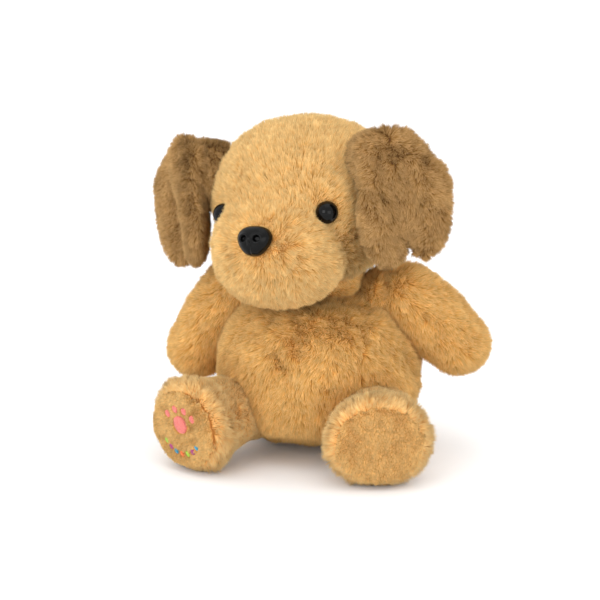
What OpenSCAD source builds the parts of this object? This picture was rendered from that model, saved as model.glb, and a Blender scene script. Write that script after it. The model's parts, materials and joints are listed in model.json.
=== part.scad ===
// Sitting plush dog: sewn panels over stuffing, with sprung sewn seams at its neck, limbs, ears and tail.
// The dog faces -Y, its left side is +X, and the middle of its flat seat is the origin.
// A panel's outer face is the middle of its pile, so the tips of the fur stand a few millimetres proud.

/* [Fabric] */
// Thickness of the plush on the body, backing and pressed pile together
plush_t = 5; // [3:0.5:7]
// Thickness of the plush on the ears
ear_plush_t = 4; // [2.5:0.5:5]
// Clearance between pieces that move past each other
gap = 0.5; // [0.4:0.1:1]

/* [Torso] */
// Diameter of the torso
torso_d = 142; // [114:1:170]
// Height of the torso
torso_h = 120; // [98:1:148]
// Height of its widest level
torso_belly_z = 57; // [48:1:62]
// Width of the front panel
belly_panel_w = 84; // [50:1:100]
// Distance ahead of the middle at which the flat seat starts to rise
seat_front = 6; // [2:1:12]
// Rise of the torso's underside toward the front, as an angle
seat_rise = 22; // [12:1:26]

/* [Head] */
// Width of the head between the ears
head_w = 126; // [104:1:152]
// Depth and height of the head
head_d = 114; // [94:1:138]
// Clearance between the torso and the head, over the neck
neck_gap = 1; // [0.5:0.5:6]
// How far the head leans forward of the seat
head_forward = 12; // [4:1:18]
// How far the head leans to the dog's right
head_aside = 6; // [0:1:10]
// Turn of the head at rest, positive to the dog's left
head_turn = -15; // [-20:1:20]
// Tilt of the head at rest, positive lowers its left side
head_tilt = -5; // [-8:1:8]
// Width of the strip that runs over the crown
crown_strip_w = 46; // [30:1:60]
// Diameter of the stuffed neck
neck_d = 36; // [28:1:42]

/* [Muzzle] */
// Width of the muzzle
muzzle_w = 86; // [70:1:96]
// Height and depth of the muzzle
muzzle_d = 73; // [60:1:80]
// How far the muzzle stands out ahead of the head
muzzle_stands = 18; // [12:1:24]
// Drop of the muzzle below the middle of the head
muzzle_drop = 30; // [24:1:34]
// Width of the nose
nose_w = 25; // [20:1:30]
// Height of the nose
nose_h = 20; // [16:1:24]
// Backward lean of the nose's face, as an angle
nose_tilt = 20; // [10:1:30]

/* [Eyes] */
// Diameter of an eye
eye_d = 15; // [12:0.5:18]
// Distance between the eyes
eye_span = 81; // [70:1:84]
// Height of the eyes against the middle of the head
eye_z = -3; // [-6:1:8]
// Diameter of an eye's or the nose's shank
shank_d = 4; // [3:0.5:5]
// Diameter of a locking washer
washer_d = 14; // [10:0.5:16]
// Thickness of a locking washer
washer_t = 1.4; // [1:0.1:2]

/* [Ears] */
// Width of an ear
ear_w = 66; // [54:1:80]
// Length of an ear
ear_l = 88; // [72:1:106]
// Thickness of an ear
ear_t = 20; // [16:1:24]
// Radius of an ear's corners
ear_corner_r = 24; // [16:1:26]
// Turn of an ear outward from facing forward
ear_turn = 33; // [25:1:40]
// Distance of an ear's middle beyond the side of the head
ear_beyond = 17; // [15:1:24]
// Distance of an ear's middle behind the front of the head
ear_behind = 30; // [24:1:33]
// Height of an ear's middle against the middle of the head
ear_up = 3; // [0:1:8]

/* [Arms] */
// Diameter of an arm at its root
arm_root_d = 39; // [32:1:44]
// Diameter of a hand
hand_d = 43; // [34:1:46]
// Distance from the shoulder to the middle of the hand
arm_l = 50; // [40:1:58]
// Depth to which an arm's root sits in the torso
shoulder_set = 4.5; // [3:0.5:10]
// Drop of the shoulders below the top of the torso
shoulder_drop = 9; // [8:1:18]
// Angle of the left arm out from hanging, at rest
arm_left_rest = 48; // [44:1:80]
// Angle of the right arm out from hanging, at rest
arm_right_rest = 33; // [28:1:80]
// Angle by which the left arm can be pressed down from its rest
arm_left_drop = 6; // [0:1:8]

/* [Legs] */
// Diameter of a leg at its root
leg_root_d = 54; // [46:1:58]
// Diameter of a foot
foot_d = 64; // [54:1:74]
// Length of a leg from the hip to the sole
leg_l = 66; // [58:1:80]
// Depth of a hip's middle in the torso
hip_set = 14; // [8:0.5:16]
// Turn of a hip round the torso from straight ahead
hip_turn = 53; // [46:1:60]
// Drop of a leg from the hip to the foot, as an angle
leg_drop = 4; // [0:1:8]
// Angle that a leg can be lifted by
leg_lift = 10; // [4:1:12]
// Turn of the left leg outward
leg_left_splay = 17; // [10:1:30]
// Turn of the right leg outward
leg_right_splay = 27; // [10:1:30]
// Width of the plush rim round a sole pad
sole_rim = 5; // [3:0.5:9]
// Thickness of a sole pad
sole_t = 3; // [2:0.5:5]
// Rounding of the foot's edge
foot_edge = 14; // [10:1:16]

/* [Stitching] */
// Height of the stitched motif above its sole
stitch_h = 0.6; // [0.4:0.1:1]
// Diameter of the paw print's palm
palm_d = 13; // [10:0.5:14]
// Diameter of each toe of the paw print
toe_d = 5.4; // [4:0.2:6]
// Diameter of each dot in the arc under the paw print
dot_d = 3.2; // [2.4:0.2:4]

/* [Tail] */
// Diameter of the tail
tail_d = 20; // [16:1:26]
// Length of the tail from its seam to the middle of its tip
tail_l = 22; // [14:1:32]
// Height of the tail's seam
tail_z = 34; // [28:1:50]
// Rise of the tail above level, as an angle
tail_rise = 35; // [20:1:50]
// Angle that the tail wags by, to each side
tail_swing = 20; // [5:1:25]

/* [Hidden] */
$fn = 48;

left = 1;
right = -1;
big = 400;
honey = [0.87, 0.69, 0.44];
honey_deep = [0.80, 0.60, 0.36];
taupe = [0.62, 0.46, 0.29];
cotton = [0.95, 0.94, 0.91];
black_plastic = [0.05, 0.05, 0.06];
clear_plastic = [0.88, 0.90, 0.92];
coral = [0.93, 0.52, 0.47];

torso_square = 2.6;
head_square = 2.3;
torso_top = torso_h - torso_belly_z;
torso_bottom = torso_belly_z + 2;
neck_pivot = [0, 0, torso_h + 2];
head_middle = [-head_aside, -head_forward, torso_h + neck_gap + head_d / 2];
crown_seam_y = head_d / 6;
muzzle_reach = head_d / 2 + muzzle_stands;
muzzle_middle = [0, muzzle_d / 2 - muzzle_reach, -muzzle_drop];
chin_seam_z = -muzzle_drop - muzzle_d / 6;
hip_room = 3;
wall_gap = gap * 2 / 3;
arm_ease = 1;
eye_sink = 1.5;
eye_back = 2.5;
nose_sink = 2;
nose_back = 4;
nose_ball_r = nose_h * 0.4;
nose_z = muzzle_d / 6 - muzzle_drop;
shoulder_z = torso_h - shoulder_drop;
shoulder_x = torso_radius_at(shoulder_z) + arm_root_d / 2 - shoulder_set;
shoulder_y = 4;
arm_left_sweep = 12;
arm_right_sweep = 8;
hip_z = foot_d / 2 + (leg_l - foot_edge) * sin(leg_drop);
hip_out = torso_radius_at(hip_z) - hip_set;
sole_d = foot_d - 2 * sole_rim;
tail_y = torso_radius_at(tail_z) + 2;
tail_tip_r = tail_d / 2 - 1;
tail_room = gap + tail_d / 2 * sin(tail_swing);
palm_y = 4;
toe_step = 32;
toe_ring_r = 15;
dot_step = 18;
dot_ring_r = 17;
ear_out = head_w / 2 + ear_beyond;
ear_ahead = head_d / 2 - ear_behind;
ear_hinge_r = 4.5;
ear_hinge_y = ear_t / 2 - 3;
ear_hinge_z = ear_l / 2 - 8;
washer_sink = 1.6;
shank_l = plush_t + washer_sink + washer_t + 2;

// Radius of a squarish oval of revolution, at a fraction of its half length.
function oval_radius(r, fraction, square) = r * pow(1 - pow(min(1, abs(fraction)), square), 1 / square);

function torso_radius_at(z) =
    let (half = z > torso_belly_z ? torso_top : torso_bottom)
    oval_radius(torso_d / 2, (z - torso_belly_z) / half, torso_square);

// Points of an arc about [x, y], from angle a to angle b.
function arc(x, y, r, a, b, n = 12) =
    [for (i = [0:n]) let (t = a + (b - a) * i / n) [x + r * cos(t), y + r * sin(t)]];

// Half outline of a squarish oval, from its lower pole to its upper one.
function oval_outline(r, up, down, square, n) =
    [for (i = [0:2 * n])
        let (t = -90 + 90 * i / n, c = pow(abs(cos(t)), 2 / square), s = pow(abs(sin(t)), 2 / square))
        [r * c, t < 0 ? -down * s : up * s]];

module oval(r, up, down, square = 2, n = 9) {
    rotate_extrude() polygon(oval_outline(r, up, down, square, n));
}

// ---- torso ----

// Flat under the seat, and rising from there toward the front.
module torso_form(inset = 0) {
    difference() {
        translate([0, 0, torso_belly_z])
            oval(torso_d / 2 - inset, torso_top - inset, torso_bottom - inset, torso_square);
        translate([-big / 2, -big / 2, inset - big])
            cube(big);
        translate([0, -seat_front, 0])
            rotate([-seat_rise, 0, 0])
                translate([-big / 2, -big, inset - big])
                    cube(big);
    }
}

// Round sockets in which the roots of the neck, limbs and tail turn.
module torso_sockets(inset = 0) {
    translate(neck_pivot) sphere(d = neck_d + 2 * (gap - inset));
    for (side = [left, right]) {
        shoulder_place(side) sphere(d = arm_root_d + 2 * (gap - inset));
        hip_place(side) sphere(d = leg_root_d + 2 * (hip_room - inset));
    }
    tail_place() sphere(d = tail_d + 2 * (gap - inset));
}

module torso_shell() {
    difference() {
        torso_form();
        torso_form(plush_t);
        torso_sockets();
    }
}

// The torso with room round it, which the limbs and the tail are cut back by where they lie against it.
// What they have left in a socket keeps clear of the socket's wall.
module torso_keepout(room) {
    difference() {
        torso_form(-room);
        torso_sockets(wall_gap);
    }
}

module belly_zone() {
    translate([-belly_panel_w / 2, -big, plush_t])
        cube([belly_panel_w, big, big]);
}

module belly_front() {
    color(honey_deep)
        intersection() {
            torso_shell();
            belly_zone();
        }
}

module back_half(side) {
    color(honey_deep)
        difference() {
            intersection() {
                torso_shell();
                translate([side > 0 ? 0 : -big, -big / 2, plush_t])
                    cube(big);
            }
            belly_zone();
        }
}

module base_panel() {
    color(honey_deep)
        intersection() {
            torso_shell();
            translate([-big / 2, -big / 2, plush_t - big])
                cube(big);
        }
}

module torso_stuffing() {
    color(cotton)
        difference() {
            torso_form(plush_t);
            torso_sockets();
        }
}

module neck_stuffing() {
    color(cotton)
        translate(neck_pivot) sphere(d = neck_d);
}

// ---- head ----

module head_place() {
    translate(head_middle)
        rotate([0, 0, head_turn])
            rotate([0, head_tilt, 0])
                children();
}

module head_form(inset = 0) {
    rotate([0, 90, 0])
        oval(head_d / 2 - inset, head_w / 2 - inset, head_w / 2 - inset, head_square);
}

module muzzle_form(inset = 0) {
    translate(muzzle_middle)
        rotate([0, 90, 0])
            oval(muzzle_d / 2 - inset, muzzle_w / 2 - inset, muzzle_w / 2 - inset, head_square);
}

module head_shell() {
    difference() {
        head_place()
            difference() {
                head_form();
                head_form(plush_t);
                muzzle_form(plush_t);
                for (side = [left, right])
                    eye_form(side);
            }
        translate(neck_pivot) sphere(d = neck_d + 2 * gap);
    }
}

// The strip over the crown, ahead of the back seam.
module crown_zone() {
    head_place()
        translate([-crown_strip_w / 2, -big, 0])
            cube([crown_strip_w, big + crown_seam_y, big]);
}

module back_zone() {
    head_place()
        translate([-big / 2, crown_seam_y, -big / 2])
            cube(big);
}

module forehead_panel() {
    color(honey)
        difference() {
            intersection() {
                head_shell();
                crown_zone();
            }
            back_zone();
        }
}

module head_side(side) {
    color(honey)
        difference() {
            intersection() {
                head_shell();
                head_place()
                    translate([side > 0 ? 0 : -big, -big / 2, -big / 2])
                        cube(big);
            }
            crown_zone();
            back_zone();
        }
}

module head_back() {
    color(honey)
        intersection() {
            head_shell();
            back_zone();
        }
}

module head_stuffing() {
    color(cotton)
        difference() {
            head_place()
                difference() {
                    head_form(plush_t);
                    for (side = [left, right]) {
                        eye_form(side);
                        eye_at(side) washer_form();
                    }
                }
            translate(neck_pivot) sphere(d = neck_d + 2 * gap);
        }
}

module muzzle_shell() {
    difference() {
        head_place()
            difference() {
                muzzle_form();
                muzzle_form(plush_t);
                head_form();
                nose_form();
            }
        torso_form(-gap);
    }
}

module above_chin_seam() {
    head_place()
        translate([-big / 2, -big / 2, chin_seam_z])
            cube(big);
}

module muzzle_panel() {
    color(honey)
        intersection() {
            muzzle_shell();
            above_chin_seam();
        }
}

module chin_panel() {
    color(honey)
        difference() {
            muzzle_shell();
            above_chin_seam();
        }
}

module muzzle_stuffing() {
    color(cotton)
        difference() {
            head_place()
                difference() {
                    muzzle_form(plush_t);
                    head_form(plush_t);
                    nose_form();
                    nose_at() washer_form();
                }
            torso_form(-gap);
        }
}

// ---- eyes and nose ----

eye_fraction = eye_span / head_w;
eye_ring_r = oval_radius(head_d / 2, eye_fraction, head_square);
eye_y = -sqrt(pow(eye_ring_r, 2) - pow(eye_z, 2));
eye_slope = head_d / head_w * pow(eye_fraction, head_square - 1)
    * pow(1 - pow(eye_fraction, head_square), 1 / head_square - 1);

// Local +Z points out of the head.
module eye_at(side) {
    translate([side * eye_span / 2, eye_y, eye_z])
        rotate([90, 0, side * atan(eye_slope)])
            children();
}

module eye_form(side) {
    eye_at(side) {
        intersection() {
            translate([0, 0, -eye_sink]) sphere(d = eye_d);
            translate([0, 0, -eye_back]) cylinder(d = eye_d + 2, h = eye_d);
        }
        translate([0, 0, -shank_l]) cylinder(d = shank_d, h = shank_l);
    }
}

// A push-on washer, pulled down into the stuffing under the fabric.
module washer_form() {
    translate([0, 0, -plush_t - washer_sink - washer_t]) cylinder(d = washer_d, h = washer_t);
}

module washer() {
    difference() {
        washer_form();
        translate([0, 0, -big / 2]) cylinder(d = shank_d, h = big);
    }
}

module eye(side) {
    color(black_plastic)
        head_place() eye_form(side);
}

module eye_washer(side) {
    color(clear_plastic)
        head_place()
            eye_at(side) washer();
}

module nose_at() {
    translate([0, nose_sink - muzzle_reach, nose_z])
        rotate([90 - nose_tilt, 0, 0])
            children();
}

// A rounded triangle, flat at the back, on a shank.
module nose_form() {
    nose_at() {
        intersection() {
            hull() {
                for (side = [left, right])
                    translate([side * (nose_w / 2 - nose_ball_r), nose_h / 2 - nose_ball_r, 0])
                        sphere(nose_ball_r, $fn = 32);
                translate([0, nose_ball_r - nose_h / 2, 0])
                    sphere(nose_ball_r, $fn = 32);
            }
            translate([-nose_w, -nose_w, -nose_back])
                cube(nose_w * 2);
        }
        translate([0, 0, -shank_l]) cylinder(d = shank_d, h = shank_l);
    }
}

module nose() {
    color(black_plastic)
        head_place() nose_form();
}

module nose_washer() {
    color(clear_plastic)
        head_place()
            nose_at() washer();
}

// ---- ears ----

// Local X runs across the ear and away from the head, and local -Y is its front.
module ear_place(side) {
    head_place()
        translate([side * ear_out, -ear_ahead, ear_up])
            rotate([0, 0, side * ear_turn])
                children();
}

module ear_form(inset = 0) {
    hull()
        for (x = [-1, 1], z = [-1, 1])
            translate([x * (ear_w / 2 - ear_corner_r), 0, z * (ear_l / 2 - ear_corner_r)])
                rotate([90, 0, 0])
                    oval(ear_corner_r - inset, ear_t / 2 - inset, ear_t / 2 - inset, 2, 4, $fn = 24);
}

// The rolled seam at the top of the ear's back, about which it flaps.
module ear_roll(r) {
    translate([-ear_w / 3, ear_hinge_y, ear_hinge_z])
        rotate([0, 90, 0])
            cylinder(r = r, h = ear_w * 2 / 3);
}

module ear_cutouts(side) {
    ear_place(side)
        translate([-big / 2, ear_hinge_y, ear_hinge_z])
            rotate([0, 90, 0])
                cylinder(r = ear_hinge_r + gap, h = big);
    head_place() head_form(-gap);
}

module ear_panel(side, back) {
    color(taupe)
        difference() {
            ear_place(side)
                difference() {
                    ear_form();
                    ear_form(ear_plush_t);
                    translate([-big / 2, back ? -big : 0, -big / 2])
                        cube(big);
                }
            ear_cutouts(side);
        }
}

module ear_padding(side) {
    color(cotton)
        difference() {
            ear_place(side) ear_form(ear_plush_t);
            ear_cutouts(side);
        }
}

// A point of the head, seen from above, in the ear's own frame.
function ear_local(side, p) =
    let (x = p[0] - ear_out, y = p[1] + ear_ahead)
    [side * (x * cos(ear_turn) + y * sin(ear_turn)), y * cos(ear_turn) - x * sin(ear_turn)];

// The gathered strip that joins the rolled seam to the head.
module ear_seam(side) {
    color(taupe)
        difference() {
            ear_place(side) {
                ear_roll(ear_hinge_r);
                translate([0, 0, ear_hinge_z - ear_hinge_r])
                    linear_extrude(ear_hinge_r * 1.4)
                        polygon([
                            [side * -ear_w / 3, ear_hinge_y],
                            [side * ear_w / 3, ear_hinge_y],
                            ear_local(side, [head_w * 0.36, -head_d * 0.1]),
                            ear_local(side, [head_w * 0.24, -head_d * 0.22])
                        ]);
            }
            head_place() head_form();
        }
}

// ---- limbs ----

// A limb of revolution along +Z, with a ball for a root and a round tip.
module limb(root_r, tip_r, length, inset = 0) {
    rotate_extrude()
        polygon(concat(
            arc(0, 0, root_r - inset, -90, 20),
            arc(0, length, tip_r - inset, -5, 90)
        ));
}

module shoulder_place(side) {
    translate([side * shoulder_x, shoulder_y, shoulder_z])
        children();
}

function arm_sweep(side) = side > 0 ? arm_left_sweep : arm_right_sweep;

function arm_rest(side) = side > 0 ? arm_left_rest : arm_right_rest;

function arm_drop(side) = side > 0 ? arm_left_drop : 0;

module arm_place(side) {
    shoulder_place(side)
        rotate([0, 0, arm_sweep(side)])
            rotate([0, side * (180 - arm_rest(side)), 0])
                children();
}

// An arm that can be pressed down from its rest keeps that much room from the torso.
module arm_form(side, inset = 0) {
    difference() {
        arm_place(side) limb(arm_root_d / 2, hand_d / 2, arm_l, inset);
        torso_keepout(gap + arm_ease + arm_l * sin(arm_drop(side)));
    }
}

module arm_panel(side, outer) {
    color(honey_deep)
        difference() {
            arm_form(side);
            arm_place(side) limb(arm_root_d / 2, hand_d / 2, arm_l, plush_t);
            arm_place(side)
                translate([(outer ? side : -side) > 0 ? 0 : -big, -big / 2, -big / 2])
                    cube(big);
        }
}

module arm_stuffing(side) {
    color(cotton) arm_form(side, plush_t);
}

module hip_place(side) {
    translate([side * hip_out * sin(hip_turn), -hip_out * cos(hip_turn), hip_z])
        children();
}

// Local +Z runs from the hip to the sole, and local +Y is the top of the leg.
module leg_place(side) {
    hip_place(side)
        rotate([0, 0, side * (side > 0 ? leg_left_splay : leg_right_splay)])
            rotate([90 + leg_drop, 0, 0])
                children();
}

module leg_solid(inset = 0) {
    rotate_extrude()
        polygon(concat(
            arc(0, 0, leg_root_d / 2 - inset, -90, 25),
            arc(foot_d / 2 - foot_edge, leg_l - foot_edge, foot_edge - inset, -35, 90),
            [[0, leg_l - inset]]
        ));
}

module sole_form() {
    translate([0, 0, leg_l - sole_t])
        cylinder(d = sole_d, h = sole_t * 2);
}

// A leg can be lifted from its rest, so it keeps that much room from the torso.
module leg_form(side, inset = 0) {
    difference() {
        leg_place(side) leg_solid(inset);
        torso_keepout(gap + leg_root_d / 2 * sin(leg_lift));
    }
}

module leg_panel(side, upper) {
    color(honey)
        difference() {
            leg_form(side);
            leg_place(side) {
                leg_solid(plush_t);
                sole_form();
                translate([-big / 2, upper ? -big : 0, -big / 2])
                    cube(big);
            }
        }
}

module leg_stuffing(side) {
    color(cotton) leg_form(side, plush_t);
}

module sole(side) {
    color(honey_deep)
        leg_place(side)
            difference() {
                intersection() {
                    leg_solid();
                    sole_form();
                }
                leg_solid(plush_t);
            }
}

// A paw print over an arc of small dots, stitched on the right sole.
module sole_embroidery() {
    color(coral)
        leg_place(right)
            translate([0, 0, leg_l])
                linear_extrude(stitch_h) {
                    translate([0, palm_y]) circle(d = palm_d);
                    for (i = [0:3])
                        rotate(toe_step * (i - 1.5))
                            translate([0, toe_ring_r]) circle(d = toe_d);
                    for (i = [0:6])
                        rotate(180 + dot_step * (i - 3))
                            translate([0, dot_ring_r]) circle(d = dot_d);
                }
}

// ---- tail ----

module tail_place() {
    translate([0, tail_y, tail_z])
        rotate([-90 + tail_rise, 0, 0])
            children();
}

module tail_cover() {
    color(honey_deep)
        difference() {
            tail_place()
                difference() {
                    limb(tail_d / 2, tail_tip_r, tail_l);
                    limb(tail_d / 2, tail_tip_r, tail_l, plush_t);
                }
            torso_keepout(tail_room);
        }
}

module tail_stuffing() {
    color(cotton)
        difference() {
            tail_place() limb(tail_d / 2, tail_tip_r, tail_l, plush_t);
            torso_keepout(tail_room);
        }
}

belly_front();
back_half(left);  // back_left
back_half(right);  // back_right
base_panel();
torso_stuffing();
neck_stuffing();
forehead_panel();
head_side(left);  // head_side_left
head_side(right);  // head_side_right
head_back();
head_stuffing();
muzzle_panel();
chin_panel();
muzzle_stuffing();
nose();
nose_washer();
eye(left);  // eye_left
eye(right);  // eye_right
eye_washer(left);  // eye_washer_left
eye_washer(right);  // eye_washer_right
ear_panel(left, false);  // ear_left_front
ear_panel(left, true);  // ear_left_back
ear_padding(left);  // ear_left_padding
ear_seam(left);  // ear_left_seam
ear_panel(right, false);  // ear_right_front
ear_panel(right, true);  // ear_right_back
ear_padding(right);  // ear_right_padding
ear_seam(right);  // ear_right_seam
arm_panel(left, true);  // arm_left_outer
arm_panel(left, false);  // arm_left_inner
arm_stuffing(left);  // arm_left_stuffing
arm_panel(right, true);  // arm_right_outer
arm_panel(right, false);  // arm_right_inner
arm_stuffing(right);  // arm_right_stuffing
leg_panel(left, true);  // leg_left_upper
leg_panel(left, false);  // leg_left_lower
sole(left);  // sole_left
leg_stuffing(left);  // leg_left_stuffing
leg_panel(right, true);  // leg_right_upper
leg_panel(right, false);  // leg_right_lower
sole(right);  // sole_right
leg_stuffing(right);  // leg_right_stuffing
sole_embroidery();
tail_cover();
tail_stuffing();
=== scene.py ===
"""A sitting plush dog: padded covers, pile grown strand by strand, hard eyes and nose, a stitched sole."""
import json
import math

import bmesh
import bpy
import numpy as np
from mathutils import Matrix, Vector, kdtree

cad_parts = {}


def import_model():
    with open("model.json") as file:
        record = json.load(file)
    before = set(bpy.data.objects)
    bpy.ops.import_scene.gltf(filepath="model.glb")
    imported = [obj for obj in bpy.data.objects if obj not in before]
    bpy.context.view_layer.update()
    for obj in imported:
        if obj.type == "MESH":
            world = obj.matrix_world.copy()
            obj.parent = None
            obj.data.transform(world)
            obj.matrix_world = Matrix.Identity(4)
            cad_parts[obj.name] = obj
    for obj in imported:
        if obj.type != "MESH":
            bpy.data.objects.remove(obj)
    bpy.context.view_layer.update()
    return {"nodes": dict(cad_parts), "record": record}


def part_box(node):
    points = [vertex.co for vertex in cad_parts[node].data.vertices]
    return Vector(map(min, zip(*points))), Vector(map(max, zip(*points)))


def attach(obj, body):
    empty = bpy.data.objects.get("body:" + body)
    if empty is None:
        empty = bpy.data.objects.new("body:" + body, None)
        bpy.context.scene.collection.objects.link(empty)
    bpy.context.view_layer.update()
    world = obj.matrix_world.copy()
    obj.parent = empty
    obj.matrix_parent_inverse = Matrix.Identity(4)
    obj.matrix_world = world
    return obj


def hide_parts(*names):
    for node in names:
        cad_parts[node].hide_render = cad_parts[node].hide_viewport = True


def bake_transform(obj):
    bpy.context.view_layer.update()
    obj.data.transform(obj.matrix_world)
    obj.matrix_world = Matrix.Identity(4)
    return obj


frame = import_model()

MM = 0.001
SIDES = {"left": 1, "right": -1}

# ---------------------------------------------------------------- places, from the frame

joints = {j["name"]: j for j in frame["record"]["behaviour"]["joints"]}


def node_middle(name):
    """Middle of the box round a CAD node."""
    low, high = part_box(name)
    return (low + high) / 2


def pivot(joint):
    return Vector(joints[joint]["pos_m"])


PLUSH = 5 * MM
HEAD_TURN = math.radians(-15)
HEAD_TILT = math.radians(-5)
EAR_TURN = math.radians(33)
ARM_OUT = {"left": math.radians(48), "right": math.radians(33)}
ARM_SWEEP = {"left": math.radians(12), "right": math.radians(8)}
LEG_SPLAY = {"left": math.radians(17), "right": math.radians(27)}
LEG_DROP = math.radians(4)
TAIL_RISE = math.radians(35)

torso_low, torso_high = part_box("torso_stuffing")
TORSO_R = (torso_high.x - torso_low.x) / 2 + PLUSH
TORSO_TOP = torso_high.z + PLUSH
TORSO_BELLY_Z = 57 * MM
TORSO_POWER = 2.6
# The round form reaches this far below the floor, and is cut flat where the dog sits.
SEAT_PRESS = 2 * MM
# In front of the seat the belly's underside slopes up from this point.
SEAT_EDGE = Vector((0, -6, 4)) * MM
SEAT_RISE = math.radians(22)
BELLY_HALF_W = 42 * MM
NECK_R = 17 * MM

HEAD_HALF_W = 63 * MM
HEAD_R = 57 * MM
HEAD_POWER = 2.3
HEAD_MIDDLE = Vector((-6, -12, 178)) * MM
MUZZLE_HALF = Vector((45.5, 36.5, 40)) * MM
MUZZLE_MIDDLE = Vector((-2.5, -38.5, -27)) * MM
CROWN_HALF_W = 23 * MM
BACK_SEAM_Y = 19 * MM
NOSE_MIDDLE = Vector((0, -73, -17.8)) * MM
NOSE_TILT = math.radians(20)
NOSE_HALF = Vector((12.5, 10, 8)) * MM

EAR_HALF = Vector((33, 10, 44)) * MM
EAR_MIDDLE = Vector((80, -27, 3)) * MM
# The ends of an ear's root, from the head's middle, and how far the root reaches round the line between them.
EAR_ROOT = ((52, -17, 24), (80, -26, 20))
EAR_ROOT_REACH = (7 * MM, 12 * MM, 22 * MM)

ARM_ROOT_R = 19.5 * MM
HAND_R = 21.5 * MM
ARM_L = 50 * MM
LEG_ROOT_R = 27 * MM
FOOT_R = 32 * MM
FOOT_EDGE = 14 * MM
LEG_L = 66 * MM
SOLE_R = 27 * MM
TAIL_R = 10 * MM
TAIL_L = 22 * MM


def turn(angle, axis):
    return Matrix.Rotation(angle, 4, axis)


HEAD = Matrix.Translation(HEAD_MIDDLE) @ turn(HEAD_TURN, "Z") @ turn(HEAD_TILT, "Y")
EAR = {
    name: HEAD
    @ Matrix.Translation((side * EAR_MIDDLE.x, EAR_MIDDLE.y, EAR_MIDDLE.z))
    @ turn(side * EAR_TURN, "Z")
    for name, side in SIDES.items()
}
ARM = {
    name: Matrix.Translation(pivot(f"arm_{name}_raise"))
    @ turn(ARM_SWEEP[name], "Z")
    @ turn(side * (math.pi - ARM_OUT[name]), "Y")
    for name, side in SIDES.items()
}
LEG = {
    name: Matrix.Translation(pivot(f"leg_{name}_lift"))
    @ turn(side * LEG_SPLAY[name], "Z")
    @ turn(math.radians(90) + LEG_DROP, "X")
    for name, side in SIDES.items()
}
TAIL = Matrix.Translation(pivot("tail_wag")) @ turn(TAIL_RISE - math.radians(90), "X")

# ---------------------------------------------------------------- materials


def new_material(name):
    material = bpy.data.materials.new(name)
    material.use_nodes = True
    nodes = material.node_tree.nodes
    return material, nodes, material.node_tree.links, nodes["Principled BSDF"]


def ramp(nodes, stops):
    """A colour ramp node with the given (place, colour) stops."""
    node = nodes.new("ShaderNodeValToRGB")
    elements = node.color_ramp.elements
    elements[0].position, elements[0].color = stops[0][0], (*stops[0][1], 1)
    elements[1].position, elements[1].color = stops[-1][0], (*stops[-1][1], 1)
    for place, colour in stops[1:-1]:
        elements.new(place).color = (*colour, 1)
    return node


def plush_material(name, root, middle, tip, sheen=0.08):
    """Pile that runs from a root darkened as painted shade of the deep pile to a pale tip, with each strand a
    little lighter or darker.
    """
    material, nodes, links, shader = new_material(name)
    along = nodes.new("ShaderNodeAttribute")
    along.attribute_name = "along"
    tone = nodes.new("ShaderNodeAttribute")
    tone.attribute_name = "tone"
    # The root colour is painted shade: the pile's depth, darker and more orange near the backing.
    colours = ramp(nodes, [(0.0, root), (0.5, middle), (1.0, tip)])
    shade = nodes.new("ShaderNodeMix")
    shade.data_type = "RGBA"
    shade.blend_type = "MULTIPLY"
    shade.inputs["Factor"].default_value = 1.0
    links.new(along.outputs["Fac"], colours.inputs["Fac"])
    links.new(colours.outputs["Color"], shade.inputs["A"])
    links.new(tone.outputs["Color"], shade.inputs["B"])
    links.new(shade.outputs["Result"], shader.inputs["Base Color"])
    shader.inputs["Roughness"].default_value = 0.8
    shader.inputs["Specular IOR Level"].default_value = 0.06
    shader.inputs["Sheen Weight"].default_value = sheen
    shader.inputs["Sheen Roughness"].default_value = 0.5
    shader.inputs["Sheen Tint"].default_value = (*tip, 1)
    return material


def backing_material(name, colour, dark):
    """The knitted backing under the pile."""
    material, nodes, links, shader = new_material(name)
    place = nodes.new("ShaderNodeTexCoord")
    knit = nodes.new("ShaderNodeTexVoronoi")
    knit.inputs["Scale"].default_value = 900
    colours = ramp(nodes, [(0.0, colour), (1.0, dark)])
    links.new(place.outputs["Object"], knit.inputs["Vector"])
    links.new(knit.outputs["Distance"], colours.inputs["Fac"])
    links.new(colours.outputs["Color"], shader.inputs["Base Color"])
    shader.inputs["Roughness"].default_value = 0.95
    return material


def moulded_material(name, colour, roughness, specular, grain):
    """Moulded plastic with a faint unevenness in its gloss."""
    material, nodes, links, shader = new_material(name)
    place = nodes.new("ShaderNodeTexCoord")
    cloud = nodes.new("ShaderNodeTexNoise")
    cloud.inputs["Scale"].default_value = 600
    cloud.inputs["Detail"].default_value = 3
    gloss = nodes.new("ShaderNodeMapRange")
    gloss.inputs["To Min"].default_value = roughness * 0.8
    gloss.inputs["To Max"].default_value = roughness * 1.25
    bump = nodes.new("ShaderNodeBump")
    bump.inputs["Strength"].default_value = grain
    bump.inputs["Distance"].default_value = 0.1 * MM
    links.new(place.outputs["Object"], cloud.inputs["Vector"])
    links.new(cloud.outputs["Fac"], gloss.inputs["Value"])
    links.new(cloud.outputs["Fac"], bump.inputs["Height"])
    links.new(gloss.outputs["Result"], shader.inputs["Roughness"])
    links.new(bump.outputs["Normal"], shader.inputs["Normal"])
    shader.inputs["Base Color"].default_value = (*colour, 1)
    shader.inputs["Specular IOR Level"].default_value = specular
    return material


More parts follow.
